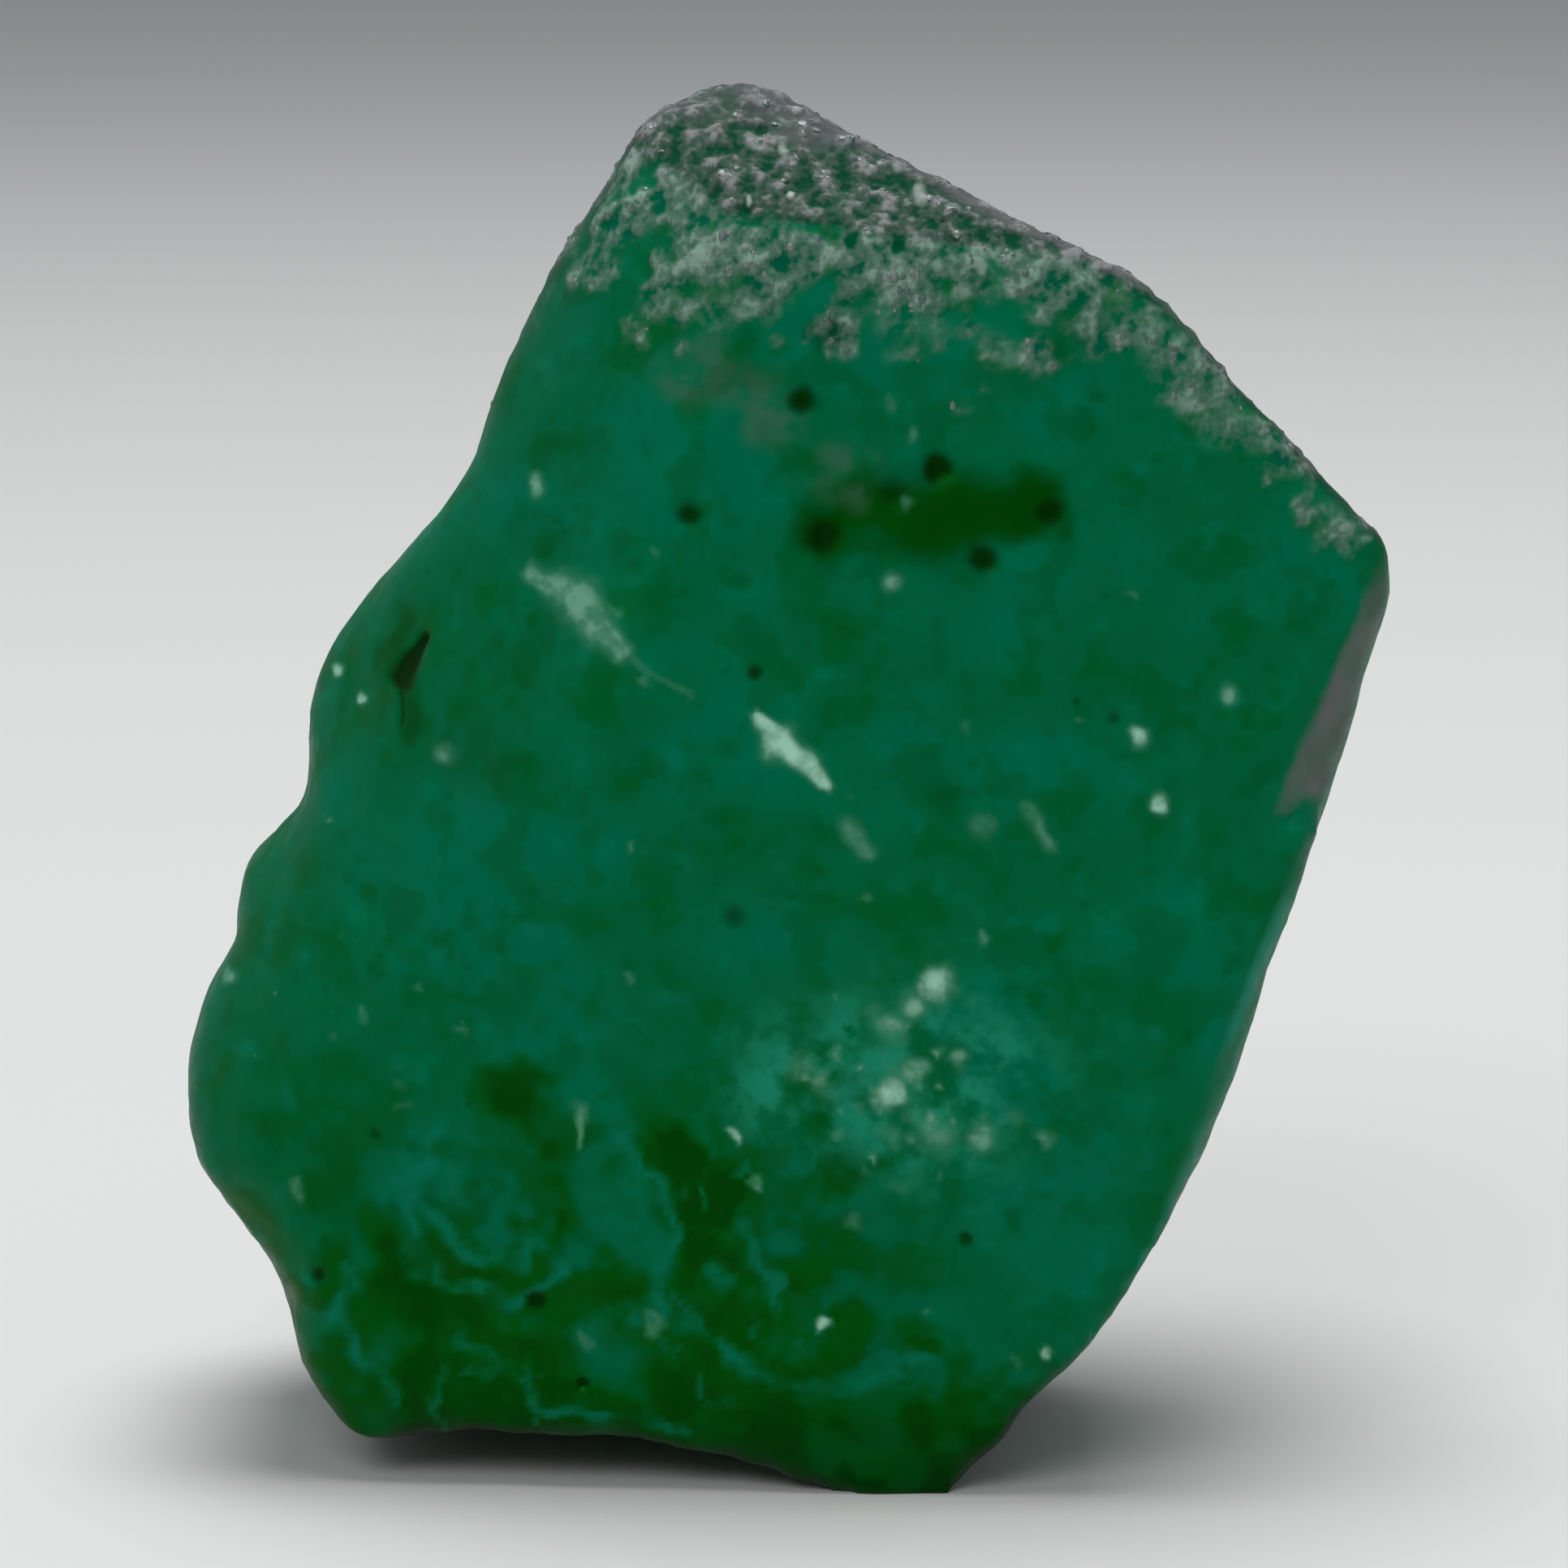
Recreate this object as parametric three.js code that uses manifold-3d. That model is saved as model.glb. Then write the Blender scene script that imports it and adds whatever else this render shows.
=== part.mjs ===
// A raw emerald crystal: one leaning, stubby prism of beryl, broken off flat at its foot and rough at its
// end.
//
// The crystal grew as one piece, so the part is one solid, made in four steps. A prism of growth faces stands
// along the crystal's long axis, which leans towards +X. The outline of the broad side, with its worn corners
// and its chipped left edge, trims it from front to back. Flat cuts make the end faces, the bevels and the
// shallow planes of the front and the back. Ball-shaped cuts make the shell-like hollows that beryl leaves
// where it breaks.
//
// Frame: millimetres, +Z up. The broken foot lies on Z = 0, the broad side faces -Y, and the origin is at the
// middle of the crystal's box at that height.
import * as THREE from "three";
import { mergeVertices } from "three/addons/utils/BufferGeometryUtils.js";
import Module from "manifold-3d";

const wasm = await Module();
wasm.setup();

// Driving dimensions.
const LEAN = THREE.MathUtils.degToRad(24); // the long axis, from upright towards +X
const AXIS_AT_FOOT = [-5.9, 0, 0]; // where the long axis meets the foot's level
const PRISM_LENGTH = 70; // longer than the crystal, and cut to length by what follows
const CUT_SIZE = 80; // side of the block behind each flat cut, and depth of the outline's sweep
const FRONT_DEPTH = -8.4; // y where the outline meets the front
const SWEEP_FALL = 0.158; // how far the edges fall per millimetre towards the back
const BALL_DETAIL = 9; // subdivision of the balls that cut the hollows
const CURVE_STEPS = 6; // straight steps in each curve of the outline

// Corners of the prism, seen along the long axis: x to the right, y to the back.
const SECTION = [
  [11.2, -9.5],
  [12.4, -4.8],
  [12.4, -3.0],
  [9.6, 4.4],
  [3.6, 8.4],
  [-4.6, 8.2],
  [-9.8, 4.6],
  [-13.4, -0.6],
  [-13.4, -2.2],
  [-9.6, -6.4],
  [-4.2, -9.5],
];

// The broad side's outline where it meets the front, x and z, clockwise from below the foot's left corner.
// Each stretch runs straight to its end, or curves there, drawn towards its bend.
const OUTLINE_START = [-9.8, -3];
const OUTLINE = [
  { name: "left corner of the foot", to: [-10.2, 1.5] },
  { name: "left edge over the foot", bend: [-11.4, 3.5], to: [-11.6, 5] },
  { name: "under the big lobe", to: [-13.4, 7.5] },
  { name: "big lobe", bend: [-14.8, 10], to: [-12.4, 13] },
  { name: "small lobe", bend: [-13.4, 14.5], to: [-11.4, 15.8] },
  { name: "step over the lobes", to: [-10.8, 16.5] },
  { name: "left shoulder", bend: [-11.5, 19], to: [-9.8, 20.5] },
  { name: "upper left edge", to: [-7.2, 23.6] },
  { name: "upper left hollow", bend: [-6.8, 25.5], to: [-5.4, 28] },
  { name: "under the end", to: [-3.8, 30.5] },
  { name: "top, left of the tip", bend: [-3, 32.2], to: [-1.5, 32.4] },
  { name: "tip", bend: [0, 32.8], to: [2, 31.5] },
  { name: "end face", to: [7, 28.2] },
  { name: "end face, worn corner", bend: [8.8, 27], to: [10, 25.8] },
  { name: "end bevel", to: [13.2, 22.6] },
  { name: "right corner", bend: [14, 21.5], to: [13, 19] },
  { name: "right edge", to: [10.2, 10] },
  { name: "right edge, low", bend: [8.5, 6], to: [6.8, 3.5] },
  { name: "step over the foot", to: [5.2, 2] },
  { name: "right corner of the foot", bend: [4.8, 1], to: [3.8, 0.5] },
  { name: "below the foot", to: [3.8, -3] },
];

// Flat cuts. Each takes away all that lies past a point, on the side that its outward normal points to.
const FLATS = [
  { name: "foot", at: [0, 0, 0], out: [0, 0, -1] },
  { name: "end face", at: [3.8, -5.5, 29.5], out: [0.56, 0.12, 1] },
  { name: "end face, front slope", at: [0, -8.2, 28.5], out: [0.16, -0.8, 1] },
  { name: "end face, left corner", at: [-3.5, -5.7, 30.9], out: [-0.8, 0.14, 0.5] },
  { name: "end bevel", at: [10.9, -8.4, 24.4], out: [1, 0.06, 0.95] },
  { name: "end bevel, front corner", at: [10.5, -7.9, 24.0], out: [0.3, -1, 0.35] },
  { name: "right edge, thin bevel", at: [9.5, -8.5, 10], out: [1, -0.8, -0.3] },
  { name: "front, upper right", at: [-2, -8.6, 17.5], out: [0.06, -1, 0.07] },
  { name: "front, lower left", at: [-2, -8.6, 17.5], out: [-0.08, -1, -0.08] },
  { name: "back, upper", at: [0, 7.6, 20], out: [-0.05, 1, 0.1] },
  { name: "back, lower", at: [0, 7.6, 12], out: [0.08, 1, -0.16] },
];

// The bevel on the right edge is a long chip. It takes away what lies past both of its planes.
const RIGHT_BEVEL = [
  { name: "face", at: [11.5, -7.8, 17.5], out: [1, -1, -0.35] },
  { name: "lower end", at: [10.5, -8, 15], out: [-0.4, 0, 1] },
];

// Shell-like hollows: the ball that each one is a part of.
const HOLLOWS = [
  { name: "foot, under the front edge", at: [-6, -5, -20], radius: 21.3 },
  { name: "left edge, low front", at: [-15.2, -10.5, 4.2], radius: 5.7 },
  { name: "left lobe, high", at: [-14.6, -7.0, 16.1], radius: 4.4 },
  { name: "left notch", at: [-13.8, 1.6, 11.4], radius: 1.8 },
  { name: "left edge, back", at: [-15.0, 7.8, 20.6], radius: 7.5 },
  { name: "left foot, back", at: [-13.5, 7.0, 2.5], radius: 6.0 },
  { name: "right foot, back", at: [11.5, 7.5, 1.0], radius: 7.4 },
  { name: "back, middle", at: [-1.5, 14.6, 9.0], radius: 8.4 },
];

// A closed three.js geometry as a manifold-3d solid.
function solidOf(geometry) {
  const bare = geometry.clone();
  bare.deleteAttribute("normal");
  bare.deleteAttribute("uv");
  const merged = mergeVertices(bare, 1e-4);
  return new wasm.Manifold(
    new wasm.Mesh({
      numProp: 3,
      vertProperties: merged.attributes.position.array,
      triVerts: new Uint32Array(merged.index.array),
    }),
  );
}

// A manifold-3d solid as a three.js geometry.
function geometryOf(solid) {
  const mesh = solid.getMesh();
  const geometry = new THREE.BufferGeometry();
  geometry.setAttribute("position", new THREE.BufferAttribute(new Float32Array(mesh.vertProperties), 3));
  geometry.setIndex(new THREE.BufferAttribute(new Uint32Array(mesh.triVerts), 1));
  return geometry;
}

// A flat shape through the given points.
function shapeThrough(points) {
  return new THREE.Shape(points.map(([x, y]) => new THREE.Vector2(x, y)));
}

// The broad side's outline as a flat shape.
function outlineShape() {
  const shape = new THREE.Shape();
  shape.moveTo(...OUTLINE_START);
  for (const { bend, to } of OUTLINE) {
    if (bend) {
      shape.quadraticCurveTo(...bend, ...to);
    } else {
      shape.lineTo(...to);
    }
  }
  return shape;
}

// The prism of growth faces, leaning along the long axis.
function prism() {
  const options = { depth: PRISM_LENGTH, bevelEnabled: false };
  const geometry = new THREE.ExtrudeGeometry(shapeThrough(SECTION), options);
  geometry.translate(0, 0, -PRISM_LENGTH / 3);
  geometry.rotateY(LEAN);
  geometry.translate(...AXIS_AT_FOOT);
  return solidOf(geometry);
}

// The outline of the broad side, swept from front to back and a little downwards.
function outlineSweep() {
  const options = { depth: CUT_SIZE, bevelEnabled: false, curveSegments: CURVE_STEPS };
  const geometry = new THREE.ExtrudeGeometry(outlineShape(), options);
  geometry.translate(0, 0, -CUT_SIZE / 2);
  geometry.rotateX(Math.PI / 2);
  const shear = new THREE.Matrix4().makeShear(0, 0, 0, -SWEEP_FALL, 0, 0);
  geometry.applyMatrix4(shear);
  geometry.translate(0, 0, FRONT_DEPTH * SWEEP_FALL);
  return solidOf(geometry);
}

// The block that a flat cut takes away.
function blockBehind({ at, out }) {
  const geometry = new THREE.BoxGeometry(CUT_SIZE, CUT_SIZE, CUT_SIZE);
  geometry.translate(0, 0, CUT_SIZE / 2);
  const normal = new THREE.Vector3(...out).normalize();
  geometry.applyQuaternion(new THREE.Quaternion().setFromUnitVectors(new THREE.Vector3(0, 0, 1), normal));
  geometry.translate(...at);
  return solidOf(geometry);
}

// The ball that a hollow takes away.
function ballAt({ at, radius }) {
  const geometry = new THREE.IcosahedronGeometry(radius, BALL_DETAIL);
  geometry.translate(...at);
  return solidOf(geometry);
}

let crystal = prism().intersect(outlineSweep());
for (const flat of FLATS) {
  crystal = crystal.subtract(blockBehind(flat));
}
const [bevelFace, bevelEnd] = RIGHT_BEVEL.map(blockBehind);
crystal = crystal.subtract(bevelFace.intersect(bevelEnd));
for (const hollow of HOLLOWS) {
  crystal = crystal.subtract(ballAt(hollow));
}

const geometry = geometryOf(crystal);
geometry.computeBoundingBox();
const middle = geometry.boundingBox.getCenter(new THREE.Vector3());
geometry.translate(-middle.x, -middle.y, -geometry.boundingBox.min.z);

const emerald = new THREE.Mesh(
  geometry,
  new THREE.MeshStandardMaterial({ color: 0x0b6b46, roughness: 0.3, metalness: 0 }),
);
emerald.name = "emerald_crystal";

const part = new THREE.Group();
part.add(emerald);
export default part;
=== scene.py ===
# A raw emerald crystal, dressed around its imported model. Lengths in the mesh code are in millimetres.
import math

import bmesh
import bpy
import numpy as np
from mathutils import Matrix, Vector, noise


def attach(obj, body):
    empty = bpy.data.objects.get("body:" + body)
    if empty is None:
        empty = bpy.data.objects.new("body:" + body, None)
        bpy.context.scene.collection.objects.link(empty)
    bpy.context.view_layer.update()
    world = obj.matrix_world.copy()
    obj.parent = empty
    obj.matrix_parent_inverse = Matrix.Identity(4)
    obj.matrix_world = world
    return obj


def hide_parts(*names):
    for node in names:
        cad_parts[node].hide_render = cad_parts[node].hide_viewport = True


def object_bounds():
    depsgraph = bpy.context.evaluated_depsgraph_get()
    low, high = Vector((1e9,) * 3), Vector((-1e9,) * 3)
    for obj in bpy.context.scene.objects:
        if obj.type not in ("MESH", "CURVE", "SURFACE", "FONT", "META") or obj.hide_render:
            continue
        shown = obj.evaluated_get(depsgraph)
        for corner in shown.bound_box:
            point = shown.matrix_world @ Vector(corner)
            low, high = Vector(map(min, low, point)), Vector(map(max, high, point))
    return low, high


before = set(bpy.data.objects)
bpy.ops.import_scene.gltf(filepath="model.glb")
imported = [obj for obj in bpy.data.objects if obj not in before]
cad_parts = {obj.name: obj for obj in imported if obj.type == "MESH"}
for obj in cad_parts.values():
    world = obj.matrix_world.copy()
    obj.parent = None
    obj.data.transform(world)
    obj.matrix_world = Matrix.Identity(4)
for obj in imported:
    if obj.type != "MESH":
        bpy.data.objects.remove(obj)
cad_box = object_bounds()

scene = bpy.context.scene
MM = 0.001


# ---- The crystal itself: its shape ----
# One prism of green beryl, grown in a single piece. Its faces are etched and waxy, its end is frosted by fine
# growth steps, its left edge is chipped, and its foot is a shell-like break that is clearer than the rest.
QUAD = 0.3  # side of the skin's quads before some are cut finer
LIGHT_WEAR = 5  # rounds of smoothing everywhere
HEAVY_WEAR = 14  # further rounds towards the left, where the edges are worn
LEAN = math.radians(24)
LONG_AXIS = np.array((math.sin(LEAN), 0, math.cos(LEAN)))
CHIP_FACES = np.array((0.68, -0.68, -0.24))  # the way that the long chip on the right edge faces


def even_quads(source, size):
    """A copy of a mesh, closed and cut into even quads."""
    mesh = source.data.copy()
    tidy = bmesh.new()
    tidy.from_mesh(mesh)
    bmesh.ops.remove_doubles(tidy, verts=tidy.verts, dist=0.001 * MM)
    tidy.to_mesh(mesh)
    tidy.free()
    mesh.materials.clear()
    draft = bpy.data.objects.new("draft", mesh)
    scene.collection.objects.link(draft)
    remesh = draft.modifiers.new("even quads", "REMESH")
    remesh.mode = "VOXEL"
    remesh.voxel_size = size * MM
    made = bpy.data.meshes.new_from_object(draft.evaluated_get(bpy.context.evaluated_depsgraph_get()))
    bpy.data.objects.remove(draft)
    return made


def finer_where(mesh, wanted):
    """Cut each face of a mesh in four where all its corners are wanted."""
    grid = bmesh.new()
    grid.from_mesh(mesh)
    grid.verts.ensure_lookup_table()
    edges = {edge for face in grid.faces if all(wanted[v.index] for v in face.verts) for edge in face.edges}
    bmesh.ops.subdivide_edges(grid, edges=list(edges), cuts=1, use_grid_fill=True)
    grid.to_mesh(mesh)
    grid.free()


def points_of(mesh):
    """The places of a mesh's vertices, in millimetres."""
    flat = np.empty(len(mesh.vertices) * 3)
    mesh.vertices.foreach_get("co", flat)
    return flat.reshape(-1, 3) / MM


def normals_of(mesh):
    """The outward directions at a mesh's vertices."""
    flat = np.empty(len(mesh.vertices) * 3)
    mesh.vertex_normals.foreach_get("vector", flat)
    return flat.reshape(-1, 3)


def set_points(mesh, points):
    """Move a mesh's vertices to places in millimetres."""
    mesh.vertices.foreach_set("co", (points * MM).ravel())
    mesh.update()


def worn(mesh, points, passes):
    """The points after each has moved towards its neighbours some times, which rounds off the edges."""
    ends = np.empty(len(mesh.edges) * 2, dtype=int)
    mesh.edges.foreach_get("vertices", ends)
    a, b = ends.reshape(-1, 2).T
    size = len(points)
    count = np.bincount(a, minlength=size) + np.bincount(b, minlength=size)
    for _ in range(passes):
        near = [np.bincount(a, line[b], size) + np.bincount(b, line[a], size) for line in points.T]
        points = 0.5 * points + 0.5 * np.array(near).T / count[:, None]
    return points


def smooth(low, high, value):
    """0 at low, 1 at high, and an S-shaped slope between them."""
    share = np.clip((value - low) / (high - low), 0, 1)
    return share * share * (3 - 2 * share)


def clouds(points, size, octaves=3, seed=0.0):
    """Soft noise from about -1 to 1, with lumps of about the given size."""
    offset = Vector((seed, seed * 0.7, -seed))
    return np.array([noise.fractal(Vector(p) / size + offset, 1.0, 2.0, octaves) for p in points])


def ragged(points, reach, size, seed):
    """The points pushed about by noise, so that a shape drawn on them gets a ragged outline."""
    push = [clouds(points, size, 2, seed + turn) for turn in range(3)]
    return points + reach * np.array(push).T


def painted(points, rows, spread=1.0):
    """The strongest of several strokes on the front at each point.

    A row is the stroke's strength, then x, z and radius at each corner of its path.
    """
    flat = points[:, [0, 2]]
    best = np.zeros(len(points))
    for strength, *path in rows:
        for start, end in zip(path, path[1:] or path):
            run = np.subtract(end, start)
            length = max(run[:2] @ run[:2], 1e-9)
            share = np.clip((flat - start[:2]) @ run[:2] / length, 0, 1)
            gap = np.linalg.norm(flat - start[:2] - share[:, None] * run[:2], axis=1)
            radius = start[2] + share * run[2]
            best = np.maximum(best, strength * smooth(1.6 * spread, 0.25 * spread, gap / radius))
    return best


def strewn(count, seed, where, strength, radius, run=0.0, heading=0.0):
    """Rows for marks strewn by chance. Most are small and weak, and some run on for a way."""
    dice = np.random.default_rng(seed)
    rows = []
    for _ in range(count):
        x, z = where(dice)
        size = radius * dice.uniform(0.35, 1.0) ** 1.5
        turn = heading + dice.normal(0, 0.4)
        length = run * dice.uniform(0, 1)
        end = (x + length * math.cos(turn), z + length * math.sin(turn), 0.6 * size)
        rows.append((strength * dice.uniform(0.3, 1.0), (x, z, size), end))
    return rows


def within(left, right, low, high):
    """Places anywhere in a box on the front."""
    return lambda dice: (dice.uniform(left, right), dice.uniform(low, high))


def around(x, z, reach):
    """Places that crowd round a point on the front."""
    return lambda dice: (x + reach * dice.normal(0, 0.5), z + reach * dice.normal(0, 0.5))


def slope_at(x):
    """How high up the front the frosted slope starts. It falls away along the bevel on the right."""
    return np.minimum(28.9 - 0.12 * x, 27.7 - 1.04 * (x - 8.4))


def from_slope(left, right, low, high):
    """Places between two heights over the line where the slope starts."""
    def place(dice):
        x = dice.uniform(left, right)
        return x, slope_at(x) + dice.uniform(low, high)
    return place


# Pale knocks, partly pale chips and partly painted glints. The first rows are the ones that stand out, many
# of them on the ridge between the front planes.
NICKS_AND_GLINTS = [
    (0.6, (-5.5, 21.0, 0.3), (-4.5, 20.5, 0.6), (-3.5, 19.5, 0.3)),
    (0.35, (-3.5, 19.5, 0.1), (-2.0, 18.5, 0.1)),
    (1.0, (-0.5, 18.0, 0.15), (0.0, 17.5, 0.4), (1.0, 16.5, 0.2)),
    (0.45, (1.5, 15.5, 0.3), (2.0, 15.0, 0.2)),
    (0.5, (2.0, 14.0, 0.15)),
    (0.7, (-5.5, 23.0, 0.25)),
    (0.5, (-7.5, 17.0, 0.3)),
    (0.8, (-10.0, 18.5, 0.15)),
    (0.8, (-9.5, 18.0, 0.15)),
    (0.6, (2.5, 21.0, 0.25)),
    (0.9, (8.0, 17.5, 0.25)),
    (1.0, (8.5, 16.0, 0.25)),
    (0.6, (10.0, 18.5, 0.25)),
    (0.45, (4.5, 15.5, 0.3)),
    (0.45, (5.5, 16.0, 0.2), (6.0, 15.0, 0.15)),
    (0.6, (-12.5, 11.5, 0.2)),
    (0.5, (-4.5, 9.0, 0.2), (-4.5, 8.0, 0.05)),
    (0.9, (-1.0, 8.5, 0.15)),
    (1.0, (1.0, 4.0, 0.15)),
    (0.8, (6.0, 3.5, 0.15)),
]
NICKS_AND_GLINTS += strewn(34, 31, within(-12, 10, 3, 25), 0.5, 0.22, 0.4, 2.4)
NICKS_AND_GLINTS += strewn(14, 32, within(-12, -8, 9, 13), 0.5, 0.15)

# The crumbled patch on the lower right of the front, its crumbs painted pale as glints: a few heavy crumbs,
# and light ones round them.
CRUMBS_AND_GLINTS = [
    (0.9, (3.5, 12.0, 0.45)),
    (0.7, (3.0, 11.5, 0.35)),
    (0.6, (2.5, 11.0, 0.35)),
    (1.0, (2.5, 9.5, 0.4)),
    (0.6, (3.0, 10.0, 0.35)),
    (0.5, (3.5, 8.5, 0.5)),
    (0.6, (4.5, 8.5, 0.4)),
    (0.5, (0.5, 10.0, 0.4)),
    (0.4, (1.0, 9.5, 0.35)),
]
CRUMBS_AND_GLINTS += strewn(44, 33, around(2.5, 9.6, 2.3), 0.7, 0.32, 0.15, -1.2)

# Etch pits: the cluster under the frosting, the slit near the left edge, three in the foot, and stray ones.
PITS = [
    (1.0, (3.5, 23.5, 0.3)),
    (0.95, (1.0, 22.0, 0.35)),
    (0.9, (6.0, 22.5, 0.3)),
    (0.85, (4.5, 21.5, 0.3)),
    (0.6, (2.5, 23.0, 0.3)),
    (0.75, (-2.0, 22.5, 0.25)),
    (0.8, (0.5, 25.0, 0.3)),
    (0.45, (1.0, 26.5, 0.4)),
    (1.0, (-8.5, 18.5, 0.25), (-8.0, 19.5, 0.1)),
    (0.5, (-8.5, 18.5, 0.1), (-8.5, 17.5, 0.05)),
    (0.5, (-1.0, 13.5, 0.25)),
    (1.0, (-5.5, 4.5, 0.2)),
    (0.9, (-4.5, 2.5, 0.15)),
    (0.8, (-10.5, 5.0, 0.15)),
]
PITS += strewn(16, 34, within(-11, 9, 3, 20), 0.7, 0.18)
PITS += strewn(7, 35, from_slope(-3, 5, -0.5, 1.5), 0.6, 0.2)

# Dark green stains round the pits.
STAINS = [
    (1.0, (1.0, 22.0, 0.5), (2.5, 22.5, 0.6), (3.5, 22.5, 0.9), (6.0, 22.5, 0.4)),
    (0.7, (-8.5, 19.5, 0.4), (-8.5, 17.5, 0.3)),
    (0.45, (6.5, 26.5, 0.6)),
]
STAINS += strewn(9, 36, within(-10, 9, 12, 25), 0.4, 0.8, 1.0)

# Windows where the crystal is clear behind the front. They run down to the right, as its healed cracks do.
WINDOWS = [
    (0.9, (-6.5, 9.5, 0.3), (-5.0, 8.5, 0.45)),
    (1.0, (-2.5, 8.0, 0.4), (-1.5, 7.0, 0.4)),
    (0.9, (-2.0, 6.5, 0.4), (-1.5, 5.5, 0.4)),
    (1.0, (-8.5, 5.5, 0.5), (-7.5, 4.5, 0.8)),
    (0.8, (-3.5, 4.5, 0.6)),
    (0.8, (-1.5, 4.5, 0.6), (0.0, 4.0, 0.6)),
]
WINDOWS += strewn(24, 37, within(-9.5, 2.5, 3.0, 8.5), 0.9, 0.5, 1.2, -0.7)

# Painted glints on the largest grains of the frosting, patches of frosting under the frosted slope, and faint
# bloom.
BIG_GRAIN_GLINTS = strewn(26, 38, from_slope(-3, 9, 0.2, 2.4), 1.0, 0.32)
FROST_PATCHES = strewn(22, 39, from_slope(-3, 7, -2.6, -0.3), 0.7, 0.5, 0.5)
FROST_PATCHES += strewn(34, 40, from_slope(7.5, 12.8, -2.0, -0.3), 1.0, 0.5, 0.5, -0.8)
FROST_PATCHES += strewn(16, 41, from_slope(6.5, 9.5, -2.0, 0.2), 1.0, 0.6, 0.4, -0.8)
BLOOM = [
    (0.7, (-2.0, 25.5, 0.5), (-1.0, 25.5, 0.6), (0.0, 24.5, 0.5)),
    (0.6, (1.5, 23.5, 0.5)),
]

# Healed cracks behind the lower left of the front. Each bends round a point. A row is x and z of that point,
# the radius, the angles in degrees where it starts and ends, and the y of its near and far edges.
HEALED_CRACKS = [
    (-6.5, 6.5, 2.0, 120, 330, -6.2, -4.8),
    (-6.5, 6.5, 1.2, 180, 300, -6.0, -4.8),
    (-5.5, 6.0, 3.0, -45, 50, -6.2, -4.6),
    (-8.0, 4.0, 2.0, 150, 250, -5.4, -3.8),
    (1.0, 6.0, 3.5, 230, 310, -6.0, -4.4),
    (-3.0, 7.0, 5.5, 220, 280, -4.6, -3.0),
]
CRACK_STEPS = 8


def round_the_bend(x, z, radius, start, end):
    """Points on an arc, as x and z."""
    turns = np.radians(np.linspace(start, end, CRACK_STEPS + 1))
    return [(x + radius * math.cos(turn), z + radius * math.sin(turn)) for turn in turns]


WISPS = [(0.9, *((x, z, 0.15) for x, z in round_the_bend(*crack[:5]))) for crack in HEALED_CRACKS]
WISPS += strewn(30, 42, within(-9.5, 1, 2.5, 8.5), 0.9, 0.2, 2.2, -0.9)

mesh = even_quads(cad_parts["emerald_crystal"], QUAD)
cut = points_of(mesh)
crisp = worn(mesh, cut, LIGHT_WEAR)
round_off = smooth(3, -5, cut[:, 0])[:, None]
place = crisp + round_off * (worn(mesh, crisp, HEAVY_WEAR) - crisp)
place[:, 2] = np.where(cut[:, 2] < 0.05, 0, np.maximum(place[:, 2], 0))
set_points(mesh, place)
out = normals_of(mesh)
finer_where(mesh, (out[:, 1] < -0.35) | (out[:, 2] > 0.5))

place = points_of(mesh)
marked = painted(place, NICKS_AND_GLINTS + PITS + CRUMBS_AND_GLINTS) > 0
sloping = (place[:, 2] > slope_at(place[:, 0]) - 1.0) & (place[:, 0] < 8)
facing = (place[:, 1] < -3.5) & (normals_of(mesh)[:, 1] < -0.2)
finer_where(mesh, (marked | sloping) & facing)

place = points_of(mesh)
out = normals_of(mesh)
x, _, z = place.T
on_foot = z < 0.02
front = smooth(0.1, 0.4, -out[:, 1])
slope_start = slope_at(x)
upward = smooth(0.28, 0.62, out[:, 2]) * smooth(-6, -4, z - slope_start)
slightly_off = ragged(place, 0.15, 0.65, 11.0)
further_off = ragged(place, 0.5, 1.1, 21.0)
torn = ragged(ragged(place, 0.6, 1.4, 51.0), 0.12, 0.5, 61.0)

# Small marks. The knocks, crumbs and largest frost grains carry painted glints.
nick_and_glint = front * painted(slightly_off, NICKS_AND_GLINTS + CRUMBS_AND_GLINTS)
glint = front * painted(slightly_off, BIG_GRAIN_GLINTS, 0.75)
pit = front * painted(0.4 * slightly_off + 0.6 * place, PITS, 1.15)
stain = front * painted(torn, STAINS, 1.2)
bloom = front * painted(further_off, BLOOM, 1.2)
crumbled = front * painted(further_off, [(1.0, (0.7, 9.8, 1.5), (3.6, 9.6, 2.2))], 1.1)

# Frosting. It is thick near the end, thins out down the front, and breaks up into patches to the right.
drop = np.maximum(slope_start - z, 0)
bias = 0.50 - 0.32 * drop - 0.6 * smooth(6.3, 7.8, x)
bias = np.where(out[:, 2] > 0.7, 0.55 - 0.8 * smooth(7.5, 8.8, x), bias)
frost = smooth(-0.35, 0.45, clouds(place, 0.9, 4, 2.0) + bias) * np.maximum(front, upward)
frost *= smooth(5, 3, drop)
frost = np.maximum(frost, 0.95 * front * painted(slightly_off, FROST_PATCHES, 1.2))
coated = 0.75 + 0.3 * clouds(place, 1.6, 3, 23.0)
frost = np.maximum(frost, coated * upward * smooth(9.4, 7.0, x + 1.2 * clouds(place, 1.0, 2, 27.0)))
short_ways = place - 0.15 * (place @ LONG_AXIS)[:, None] * LONG_AXIS
crust = np.clip(0.5 + 0.55 * clouds(short_ways, 0.42, 4, 1.0), 0, 1)
over_slope = z - slope_start + 0.6 * clouds(place, 1.2, 2, 19.0)
thin_or_thick = np.clip(0.75 + 0.5 * clouds(place, 1.8, 3, 29.0), 0, 1)
flat_end = smooth(-0.62, -0.30, out[:, 1])
lilac = thin_or_thick * upward * np.maximum(flat_end, 0.9 * smooth(1.3, 2.6, over_slope))

# The long chip on the right edge: a painted satin-grey sheen high up, and a pale green painted edge highlight
# low down.
right_chip = smooth(0.90, 0.985, out @ CHIP_FACES)
right_bevel_sheen = right_chip * smooth(14.0, 16.8, z) * smooth(22.0, 20.0, z)
right_bevel_sheen *= 0.85 + 0.35 * clouds(place, 0.9, 3, 17.0)

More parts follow.
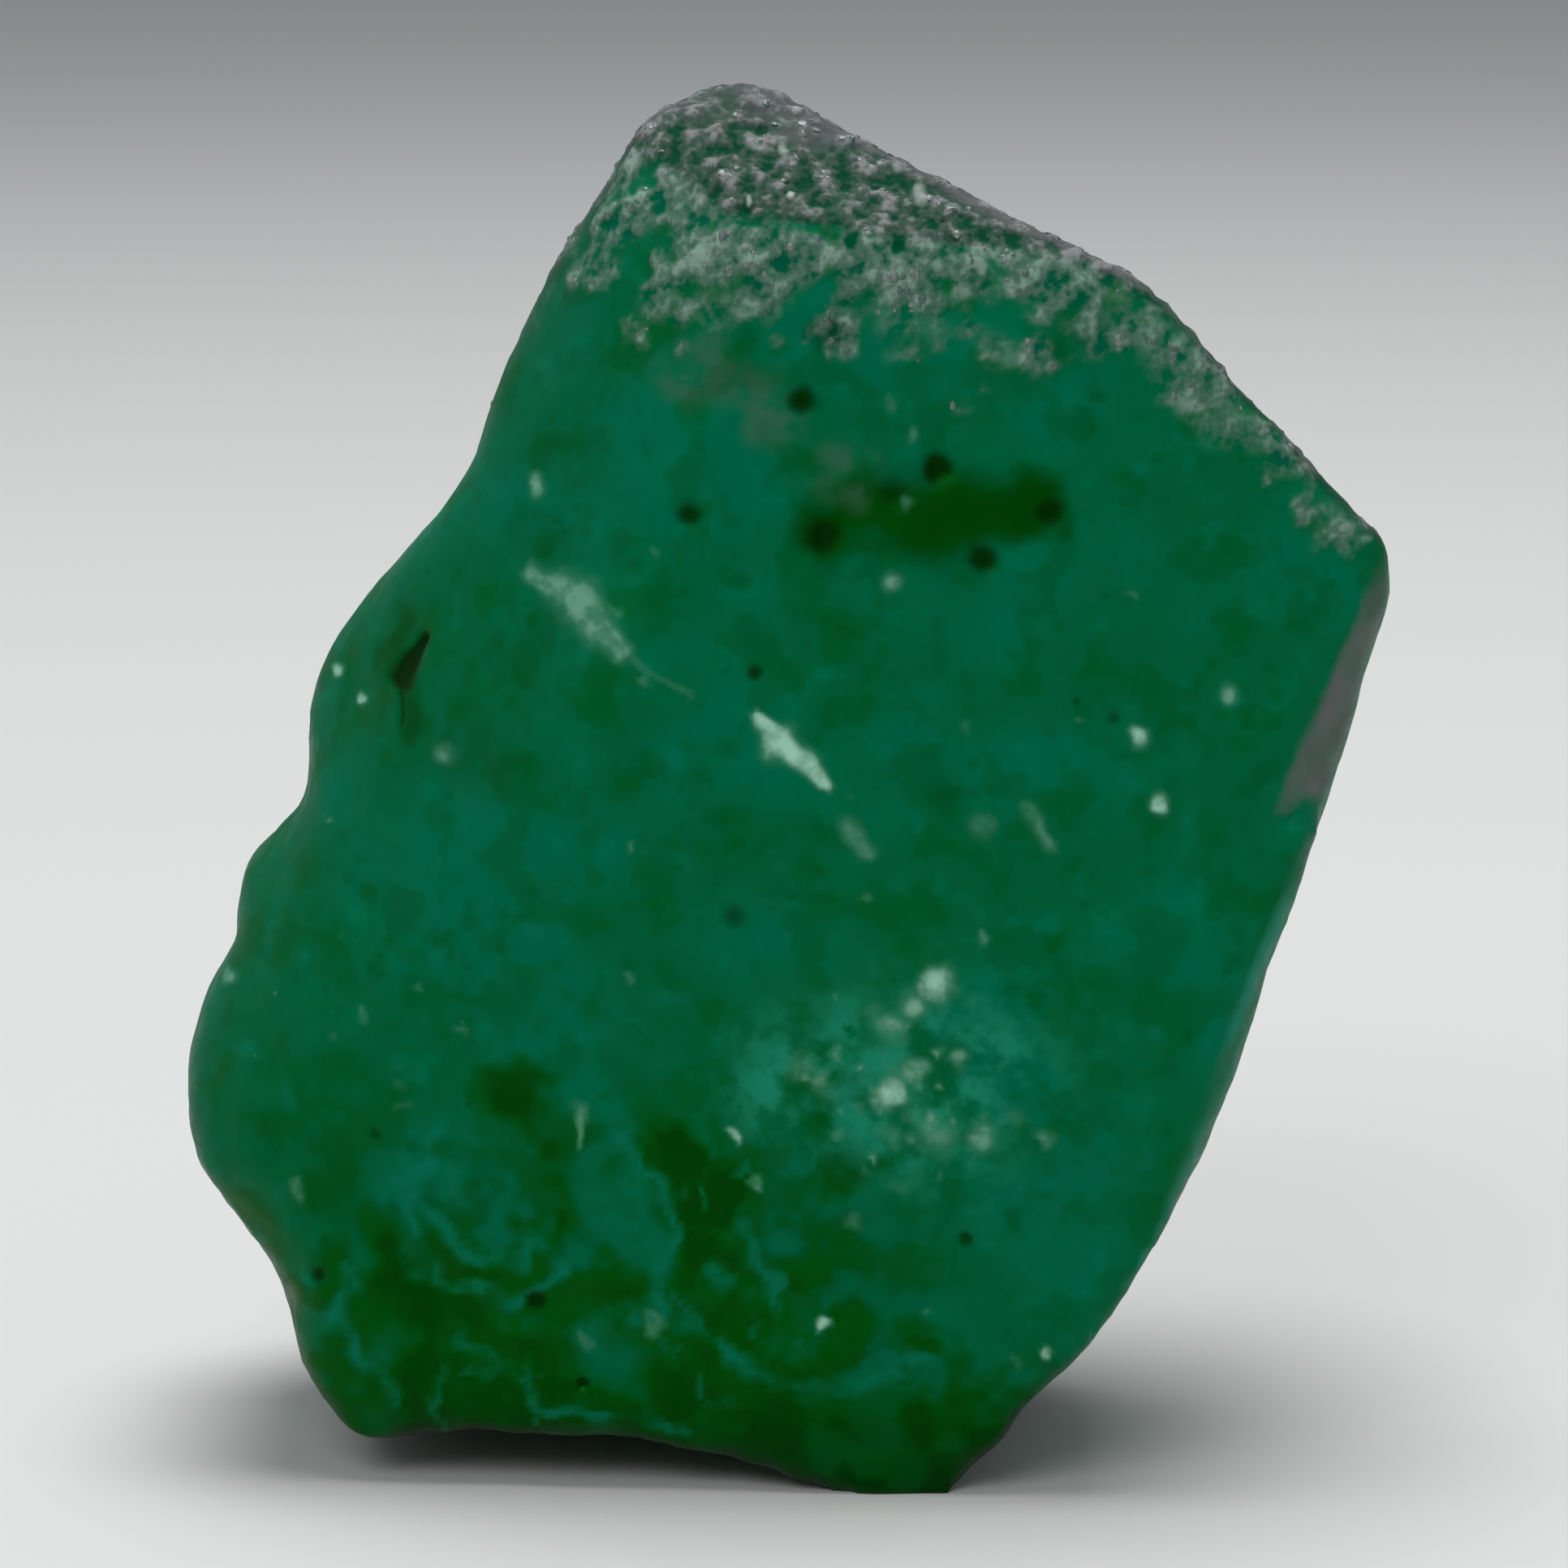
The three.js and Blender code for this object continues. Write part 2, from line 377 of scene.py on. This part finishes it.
# Growth lines, and how low down and how clear the crystal is at each point.
long_ways = place - 0.85 * (place @ LONG_AXIS)[:, None] * LONG_AXIS
lines = clouds(long_ways, 0.5, 2, 7.0)
low = smooth(10.5, 4.5, z + 7 * smooth(1, 6, x))
band_edge = 2.9 - 0.10 * x + 1.6 * clouds(place, 1.5, 4, 8.0)
band = smooth(1.5, -1.3, z - band_edge) * smooth(-10.4, -8.4, x)
window = np.maximum(front * painted(torn, WINDOWS, 1.9), band)

# Relief, outwards from the skin.
height = 0.16 * clouds(place, 5.0, 2, 3.0)
height += 0.045 * clouds(place, 1.3, 3, 9.0)
height += 0.13 * low * clouds(place, 2.2, 3, 14.0)
height += 0.05 * lines * (1 - front) * (1 - upward)
height += (0.14 + 0.05 * upward) * (crust - 0.5) * frost + 0.05 * frost
height += 0.07 * clouds(place, 0.8, 2, 6.0) * crumbled
height += 0.03 * nick_and_glint + 0.08 * glint - 0.10 * pit
place = place + out * height[:, None]
place[:, 2] = np.where(on_foot, 0.0, np.maximum(place[:, 2], 0.0))
set_points(mesh, place)
mesh.shade_smooth()

fields = {
    "nick_and_glint": nick_and_glint,
    "glint": glint,
    "pit": pit,
    "stain": stain,
    "bloom": bloom,
    "crumbled": crumbled,
    "frost": frost,
    "crust": crust,
    "peaks": frost * smooth(0.55, 0.75, crust),
    "lilac": lilac,
    "painted_sheen": right_bevel_sheen,
    # The edge field is a painted edge highlight along the lower part of the right chip.
    "edge": right_chip * smooth(15.5, 13.0, z) * smooth(-0.5, 0.3, lines),
    "low": low,
    "window": window,
    "wisp": front * painted(further_off, WISPS, 1.2),
    "upward": upward,
}
for name, values in fields.items():
    mesh.attributes.new(name, "FLOAT", "POINT").data.foreach_set("value", values)


# ---- The crystal itself: its finish ----
# Milky bluish green beryl that lets light through where it is clear. The pits are dark and the knocks are
# pale, partly painted glints. The frosted end is grey-green under a lilac-grey bloom, with painted highlights
# on its peaks.
BERYL_IOR = 1.58
ABSORBED_PER_METRE = 450

# Colours, as linear red, green and blue: the cloudy body, and the patches and stains on the front.
BODY = (0.0, 0.106, 0.038)
BODY_BLUER = (0.0, 0.126, 0.065)
MILKY_PATCH = (0.0, 0.152, 0.084)
DEEP_PATCH = (0.0, 0.084, 0.020)
PALE_SPOT = (0.002, 0.165, 0.105)
DARK_SPOT = (0.0, 0.058, 0.008)
# Darker low down: partly painted shade, partly the thicker foot.
LOW_SHADE_AND_DEPTH = (0.0, 0.060, 0.006)
CLEAR = (0.0, 0.12, 0.001)
WISP_COLOUR = (0.002, 0.150, 0.090)
CRUMBLED_COLOUR = (0.012, 0.220, 0.132)
STAIN_COLOUR = (0.0, 0.045, 0.001)
BLOOM_COLOUR = (0.045, 0.115, 0.075)

# Colours of the frosting, on the front and on the end. The peaks are partly pale grains and partly painted
# highlights.
UNDER_END = (0.001, 0.048, 0.027)
FRONT_GAPS = (0.0, 0.090, 0.048)
END_GAPS = (0.003, 0.042, 0.024)
FRONT_CLOTS = (0.075, 0.150, 0.112)
END_CLOTS = (0.045, 0.072, 0.060)
FRONT_PEAK_GLINTS = (0.21, 0.31, 0.26)
END_PEAK_GLINTS = (0.210, 0.205, 0.218)
LILAC_GREY = (0.105, 0.094, 0.110)

# Colours of the chip on the right edge, a painted edge highlight and a painted satin sheen, and of the small
# marks, whose pale knocks and glints are partly painted highlights.
PAINTED_EDGE_HIGHLIGHT = (0.010, 0.185, 0.125)
PAINTED_SHEEN_GREY = (0.115, 0.108, 0.124)
NICK_GLINT_RIM = (0.055, 0.215, 0.130)
NICK_GLINT_HEART = (0.38, 0.66, 0.50)
GLINT_COLOUR = (0.42, 0.46, 0.44)
PIT_COLOUR = (0.001, 0.010, 0.0)

emerald = bpy.data.materials.new("emerald")
emerald.use_nodes = True
tree = emerald.node_tree
shader = tree.nodes["Principled BSDF"]


def attribute(tree, name):
    """One of the fields painted on the mesh, as a socket."""
    node = tree.nodes.new("ShaderNodeAttribute")
    node.attribute_name = name
    return node.outputs["Fac"]


def pattern(tree, size, detail=3.0, roughness=0.5):
    """Noise from 0 to 1 fixed to the piece, with lumps of about the given size in millimetres."""
    where = tree.nodes.new("ShaderNodeTexCoord")
    node = tree.nodes.new("ShaderNodeTexNoise")
    node.inputs["Scale"].default_value = 1 / (size * MM)
    node.inputs["Detail"].default_value = detail
    node.inputs["Roughness"].default_value = roughness
    tree.links.new(where.outputs["Object"], node.inputs["Vector"])
    return node.outputs["Fac"]


def sums(tree, kind, a, b):
    """One step of arithmetic on sockets or numbers."""
    node = tree.nodes.new("ShaderNodeMath")
    node.operation = kind
    for socket, value in zip(node.inputs, (a, b)):
        if isinstance(value, (int, float)):
            socket.default_value = value
        else:
            tree.links.new(value, socket)
    return node.outputs[0]


def stretch(tree, value, low, high, to_low=0.0, to_high=1.0):
    """A socket's range low to high spread over another range, with soft ends."""
    node = tree.nodes.new("ShaderNodeMapRange")
    node.interpolation_type = "SMOOTHSTEP"
    tree.links.new(value, node.inputs["Value"])
    for label, number in zip(("From Min", "From Max", "To Min", "To Max"), (low, high, to_low, to_high)):
        node.inputs[label].default_value = number
    return node.outputs["Result"]


def blend_colour(tree, share, under, over):
    """One colour laid over another by a share."""
    node = tree.nodes.new("ShaderNodeMix")
    node.data_type = "RGBA"
    tree.links.new(share, node.inputs["Factor"])
    for socket, value in ((node.inputs["A"], under), (node.inputs["B"], over)):
        if isinstance(value, tuple):
            socket.default_value = value + (1,)
        else:
            tree.links.new(value, socket)
    return node.outputs["Result"]


# The cloudy body: broad shades of green, then milky and deep patches, then soft spots.
fine = pattern(tree, 0.16, 1)
clumpy = pattern(tree, 0.45, 2, 0.6)
curdled = pattern(tree, 1.1, 3, 0.6)
wispy = pattern(tree, 1.3, 2)
broad = stretch(tree, pattern(tree, 4.0, 1), 0.38, 0.62)
colour = blend_colour(tree, broad, BODY, BODY_BLUER)
colour = blend_colour(tree, stretch(tree, curdled, 0.54, 0.84), colour, MILKY_PATCH)
colour = blend_colour(tree, stretch(tree, curdled, 0.44, 0.20), colour, DEEP_PATCH)
spots = pattern(tree, 0.8, 1, 0.3)
colour = blend_colour(tree, stretch(tree, spots, 0.60, 0.86, 0.0, 0.4), colour, PALE_SPOT)
colour = blend_colour(tree, stretch(tree, spots, 0.38, 0.18, 0.0, 0.4), colour, DARK_SPOT)

# Low down the crystal is darker, partly painted shade and partly its thicker foot, and it opens into clear
# windows, with milky wisps across them.
low_shade_and_depth = sums(tree, "MULTIPLY", attribute(tree, "low"), stretch(tree, wispy, 0.62, 0.40, 0.15, 1.0))
colour = blend_colour(tree, low_shade_and_depth, colour, LOW_SHADE_AND_DEPTH)
open_here = sums(tree, "ADD", attribute(tree, "window"), stretch(tree, wispy, 0.35, 0.65, 0.25, -0.35))
clearness = sums(tree, "MINIMUM", sums(tree, "MAXIMUM", open_here, 0.0), 1.0)
colour = blend_colour(tree, clearness, colour, CLEAR)
wisp = sums(tree, "MULTIPLY", attribute(tree, "wisp"), stretch(tree, curdled, 0.35, 0.60, 0.25, 1.0))
colour = blend_colour(tree, wisp, colour, WISP_COLOUR)

# Patches on the front: the crumbled one, the stains and the faint bloom.
crumble = sums(tree, "MULTIPLY", attribute(tree, "crumbled"), stretch(tree, curdled, 0.40, 0.62))
colour = blend_colour(tree, crumble, colour, CRUMBLED_COLOUR)
colour = blend_colour(tree, attribute(tree, "stain"), colour, STAIN_COLOUR)
bloomed = sums(tree, "MULTIPLY", attribute(tree, "bloom"), stretch(tree, curdled, 0.38, 0.60, 0.1, 1.0))
colour = blend_colour(tree, bloomed, colour, BLOOM_COLOUR)

# Frosting: dark gaps and dull clots, a lilac-grey coat over them on the end, and pale peaks over it all,
# partly pale grains and partly painted highlights.
relief = sums(tree, "ADD", attribute(tree, "crust"), stretch(tree, fine, 0.3, 0.7, -0.12, 0.12))
colour = blend_colour(tree, attribute(tree, "upward"), colour, UNDER_END)
gaps = blend_colour(tree, attribute(tree, "upward"), FRONT_GAPS, END_GAPS)
clots = blend_colour(tree, attribute(tree, "upward"), FRONT_CLOTS, END_CLOTS)
frosty = blend_colour(tree, stretch(tree, relief, 0.20, 0.52), gaps, clots)
frosty = blend_colour(tree, attribute(tree, "lilac"), frosty, LILAC_GREY)
peaks = blend_colour(tree, attribute(tree, "upward"), FRONT_PEAK_GLINTS, END_PEAK_GLINTS)
frosty = blend_colour(tree, stretch(tree, relief, 0.48, 0.90), frosty, peaks)
frosted = stretch(tree, attribute(tree, "frost"), 0.0, 0.95)
colour = blend_colour(tree, frosted, colour, frosty)

# The chip on the right edge, with its painted edge highlight and painted sheen, then the small marks, with
# painted glints on the knocks and grains.
colour = blend_colour(tree, attribute(tree, "edge"), colour, PAINTED_EDGE_HIGHLIGHT)
colour = blend_colour(tree, attribute(tree, "painted_sheen"), colour, PAINTED_SHEEN_GREY)
speckle = stretch(tree, clumpy, 0.32, 0.62, 0.82, 1.12)
nick_and_glint_share = sums(tree, "MULTIPLY", attribute(tree, "nick_and_glint"), speckle)
colour = blend_colour(tree, stretch(tree, nick_and_glint_share, 0.0, 0.85), colour, NICK_GLINT_RIM)
colour = blend_colour(tree, stretch(tree, nick_and_glint_share, 0.35, 1.30), colour, NICK_GLINT_HEART)
colour = blend_colour(tree, stretch(tree, attribute(tree, "glint"), 0.2, 1.1), colour, GLINT_COLOUR)
pitted = attribute(tree, "pit")
colour = blend_colour(tree, stretch(tree, pitted, 0.0, 0.9), colour, PIT_COLOUR)
tree.links.new(colour, shader.inputs["Base Color"])

# The sheen is waxy, a little smoother on clear places and dull on frosting.
rough = stretch(tree, clumpy, 0.3, 0.7, 0.42, 0.55)
rough = sums(tree, "SUBTRACT", rough, sums(tree, "MULTIPLY", clearness, 0.10))
rough = sums(tree, "ADD", rough, sums(tree, "MULTIPLY", frosted, 0.5))
tree.links.new(rough, shader.inputs["Roughness"])

# Knocks, frosting, pits and wisps stay opaque. Light goes through the rest where it is clear.
solid = sums(tree, "MAXIMUM", stretch(tree, nick_and_glint_share, 0.05, 0.4), sums(tree, "MAXIMUM", frosted, pitted))
solid = sums(tree, "MAXIMUM", solid, wisp)
open_share = sums(tree, "MULTIPLY", clearness, sums(tree, "SUBTRACT", 1.0, solid))
tree.links.new(sums(tree, "MULTIPLY", open_share, 0.95), shader.inputs["Transmission Weight"])

grain = tree.nodes.new("ShaderNodeBump")
grain.inputs["Distance"].default_value = 0.05 * MM
grain.inputs["Strength"].default_value = 0.3
tree.links.new(spots, grain.inputs["Height"])
tree.links.new(grain.outputs["Normal"], shader.inputs["Normal"])
shader.inputs["IOR"].default_value = BERYL_IOR
shader.inputs["Specular IOR Level"].default_value = 0.20
shader.inputs["Specular Tint"].default_value = (0.02, 1.0, 0.06, 1)

green_depth = tree.nodes.new("ShaderNodeVolumeAbsorption")
green_depth.inputs["Color"].default_value = (0.0, 0.75, 0.02, 1)
green_depth.inputs["Density"].default_value = ABSORBED_PER_METRE
tree.links.new(green_depth.outputs["Volume"], tree.nodes["Material Output"].inputs["Volume"])

mesh.materials.append(emerald)
skin = bpy.data.objects.new("emerald_skin", mesh)
mesh.name = "emerald_skin"
scene.collection.objects.link(skin)
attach(skin, "root")
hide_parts("emerald_crystal")


# ---- Sugar-like growth grains on the end ----
# Where the crystal's end is frosted, its surface breaks up into tiny pale crystal corners. They are beryl
# too, grown on the end face and a little way down the broad side.
GRAIN_SLOTS = {"Grains per square millimetre": 34.0, "Smallest grain": 0.03, "Largest grain": 0.09, "Seed": 4}
GRAIN_DULL = (0.045, 0.095, 0.074)
GRAIN_BRIGHT = (0.17, 0.205, 0.19)

pale = bpy.data.materials.new("frosted beryl")
pale.use_nodes = True
pale_shader = pale.node_tree.nodes["Principled BSDF"]
tone = stretch(pale.node_tree, pattern(pale.node_tree, 0.5, 3, 0.6), 0.40, 0.66)
shade = blend_colour(pale.node_tree, tone, GRAIN_DULL, GRAIN_BRIGHT)
pale.node_tree.links.new(shade, pale_shader.inputs["Base Color"])
pale_shader.inputs["Roughness"].default_value = 0.35
pale_shader.inputs["IOR"].default_value = BERYL_IOR


def node_group(name, inputs):
    """A geometry tree with a mesh going in and out, and named numbers for its sizes."""
    group = bpy.data.node_groups.new(name, "GeometryNodeTree")
    group.interface.new_socket("Geometry", in_out="INPUT", socket_type="NodeSocketGeometry")
    for label, value in inputs.items():
        kind = "NodeSocketInt" if isinstance(value, int) else "NodeSocketFloat"
        group.interface.new_socket(label, in_out="INPUT", socket_type=kind)
    group.interface.new_socket("Geometry", in_out="OUTPUT", socket_type="NodeSocketGeometry")
    return group, group.nodes.new("NodeGroupInput"), group.nodes.new("NodeGroupOutput")


def grown(name, base, group, inputs):
    """A plain piece that a geometry tree makes from a base mesh."""
    draft = bpy.data.objects.new(name, base)
    scene.collection.objects.link(draft)
    modifier = draft.modifiers.new(group.name, "NODES")
    modifier.node_group = group
    ids = {item.name: item.identifier for item in group.interface.items_tree if item.in_out == "INPUT"}
    for label, value in inputs.items():
        modifier[ids[label]] = value
    made = bpy.data.meshes.new_from_object(draft.evaluated_get(bpy.context.evaluated_depsgraph_get()))
    made.name = name
    draft.modifiers.remove(modifier)
    draft.data = made
    return draft


def scattered(name, inputs, masked_by, lump, low, high, flat, material):
    """A geometry tree that strews flattened grains over a mesh in clumps, where one of its fields is high."""
    group, given, result = node_group(name, inputs)
    node, link = group.nodes.new, group.links.new
    mask = node("GeometryNodeInputNamedAttribute")
    mask.inputs["Name"].default_value = masked_by
    clumps = node("ShaderNodeTexNoise")
    clumps.inputs["Scale"].default_value = 1 / (lump * MM)
    clumps.inputs["Detail"].default_value = 3
    clumped = node("ShaderNodeMapRange")
    clumped.inputs["From Min"].default_value = low
    clumped.inputs["From Max"].default_value = high
    link(clumps.outputs["Fac"], clumped.inputs["Value"])
    crowd = given.outputs["Grains per square millimetre"]
    for factor in (mask.outputs["Attribute"], clumped.outputs["Result"], 1 / MM**2):
        step = node("ShaderNodeMath")
        step.operation = "MULTIPLY"
        link(crowd, step.inputs[0])
        if isinstance(factor, float):
            step.inputs[1].default_value = factor
        else:
            link(factor, step.inputs[1])
        crowd = step.outputs[0]
    spread = node("GeometryNodeDistributePointsOnFaces")
    link(given.outputs["Geometry"], spread.inputs["Mesh"])
    link(crowd, spread.inputs["Density"])
    link(given.outputs["Seed"], spread.inputs["Seed"])
    corner = node("GeometryNodeMeshIcoSphere")
    corner.inputs["Radius"].default_value = MM
    corner.inputs["Subdivisions"].default_value = 1
    size = node("FunctionNodeRandomValue")
    link(given.outputs["Smallest grain"], size.inputs[2])
    link(given.outputs["Largest grain"], size.inputs[3])
    link(given.outputs["Seed"], size.inputs["Seed"])
    form = node("FunctionNodeRandomValue")
    form.data_type = "FLOAT_VECTOR"
    form.inputs[0].default_value = (0.5, 0.5, 0.5 * flat)
    form.inputs[1].default_value = (1.6, 1.6, 1.3 * flat)
    sized = node("ShaderNodeVectorMath")
    sized.operation = "SCALE"
    link(form.outputs[0], sized.inputs[0])
    link(size.outputs[1], sized.inputs["Scale"])
    scatter = node("GeometryNodeInstanceOnPoints")
    link(spread.outputs["Points"], scatter.inputs["Points"])
    link(corner.outputs["Mesh"], scatter.inputs["Instance"])
    link(sized.outputs[0], scatter.inputs["Scale"])
    link(spread.outputs["Rotation"], scatter.inputs["Rotation"])
    real = node("GeometryNodeRealizeInstances")
    link(scatter.outputs["Instances"], real.inputs["Geometry"])
    coat = node("GeometryNodeSetMaterial")
    coat.inputs["Material"].default_value = material
    link(real.outputs["Geometry"], coat.inputs["Geometry"])
    link(coat.outputs["Geometry"], result.inputs["Geometry"])
    return group


frost_tree = scattered(
    "frost grains", GRAIN_SLOTS, masked_by="peaks", lump=0.8, low=0.42, high=0.60, flat=0.4, material=pale
)
grains = grown("frost_grains", mesh.copy(), frost_tree, GRAIN_SLOTS)
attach(grains, "root")


# ---- Veils sealed in the foot ----
# Healed cracks in the clear foot show as thin curved sheets of tiny pale flakes, a few millimetres long. The
# flakes are pockets of milky beryl that formed as the cracks grew shut.
VEIL_SLOTS = {"Grains per square millimetre": 30.0, "Smallest grain": 0.03, "Largest grain": 0.11, "Seed": 9}
FLAKE_COLOUR = (0.01, 0.30, 0.18, 1)
OUTER_SWELL = 1.15  # how much wider a sheet bends at its far edge than at its near one

corners = []
strips = []
for x, z, radius, start, end, near, far in HEALED_CRACKS:
    inner = round_the_bend(x, z, radius, start, end)
    outer = round_the_bend(x, z, OUTER_SWELL * radius, start, end)
    for step, (here, there) in enumerate(zip(inner, outer)):
        corners += [(here[0], near, here[1]), (there[0], far, there[1])]
        if step:
            last = len(corners) - 1
            strips.append((last - 3, last - 2, last, last - 1))
sheets = bpy.data.meshes.new("veil sheets")
sheets.from_pydata([tuple(MM * value for value in corner) for corner in corners], [], strips)
sheets.attributes.new("all", "FLOAT", "POINT").data.foreach_set("value", np.ones(len(corners)))

milky = bpy.data.materials.new("milky flakes")
milky.use_nodes = True
milky_shader = milky.node_tree.nodes["Principled BSDF"]
milky_shader.inputs["Base Color"].default_value = FLAKE_COLOUR
milky_shader.inputs["Roughness"].default_value = 0.5
veil_tree = scattered(
    "veil flakes", VEIL_SLOTS, masked_by="all", lump=0.8, low=0.46, high=0.60, flat=0.2, material=milky
)
veils = grown("sealed_veils", sheets, veil_tree, VEIL_SLOTS)
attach(veils, "root")


# ---- The floor, the lights and the camera ----
# A plain pale table under a wide soft light from above, with a weak fill from the front. A long lens looks a
# little down.
REACH = 3.0  # metres from the middle of the floor to its edges
floor_mesh = bpy.data.meshes.new("floor")
corners = [(-REACH, -REACH, 0), (REACH, -REACH, 0), (REACH, REACH, 0), (-REACH, REACH, 0)]
floor_mesh.from_pydata(corners, [], [(0, 1, 2, 3)])
paper = bpy.data.materials.new("pale paper")
paper.use_nodes = True
paper_shader = paper.node_tree.nodes["Principled BSDF"]
paper_shader.inputs["Base Color"].default_value = (0.62, 0.62, 0.61, 1)
paper_shader.inputs["Roughness"].default_value = 0.9
paper_shader.inputs["Specular IOR Level"].default_value = 0.1
floor_mesh.materials.append(paper)
floor = bpy.data.objects.new("floor", floor_mesh)
scene.collection.objects.link(floor)

world = bpy.data.worlds.new("studio")
scene.world = world
world.use_nodes = True
world.node_tree.nodes["Background"].inputs["Color"].default_value = (0.9, 0.95, 1.0, 1)
world.node_tree.nodes["Background"].inputs["Strength"].default_value = 0.35


def soft_light(name, place, aim, side, watts):
    """A round area light at a place in metres, turned towards its aim."""
    data = bpy.data.lights.new(name, "AREA")
    data.shape = "DISK"
    data.size = side
    data.energy = watts
    lamp = bpy.data.objects.new(name, data)
    lamp.location = place
    lamp.rotation_euler = (Vector(aim) - Vector(place)).to_track_quat("-Z", "Y").to_euler()
    scene.collection.objects.link(lamp)


centre = (cad_box[0] + cad_box[1]) / 2
soft_light("top light", place=(0.02, 0.03, 0.50), aim=centre, side=0.35, watts=2.2)
soft_light("front fill", place=(-0.15, -0.4, 0.35), aim=centre, side=0.3, watts=0.8)

LENS = 150
SENSOR = 36
DOWN = math.radians(9)  # how far the camera looks down
FRAME_WIDTH = 36.8 * MM  # width of the view where it is aimed
AIM_RIGHT = 0.1 * MM
AIM_UP = -0.7 * MM
distance = LENS / SENSOR * FRAME_WIDTH
camera_data = bpy.data.cameras.new("camera")
camera_data.lens = LENS
camera_data.sensor_width = SENSOR
camera = bpy.data.objects.new("camera", camera_data)
back = Vector((0, -math.cos(DOWN), math.sin(DOWN)))
aim = centre + Vector((AIM_RIGHT, 0.0, AIM_UP))
camera.location = aim + back * distance
camera.rotation_euler = (-back).to_track_quat("-Z", "Y").to_euler()
scene.collection.objects.link(camera)
scene.camera = camera
scene.view_settings.view_transform = "Standard"
scene.cycles.diffuse_bounces = 2
scene.cycles.glossy_bounces = 2
scene.cycles.transmission_bounces = 6
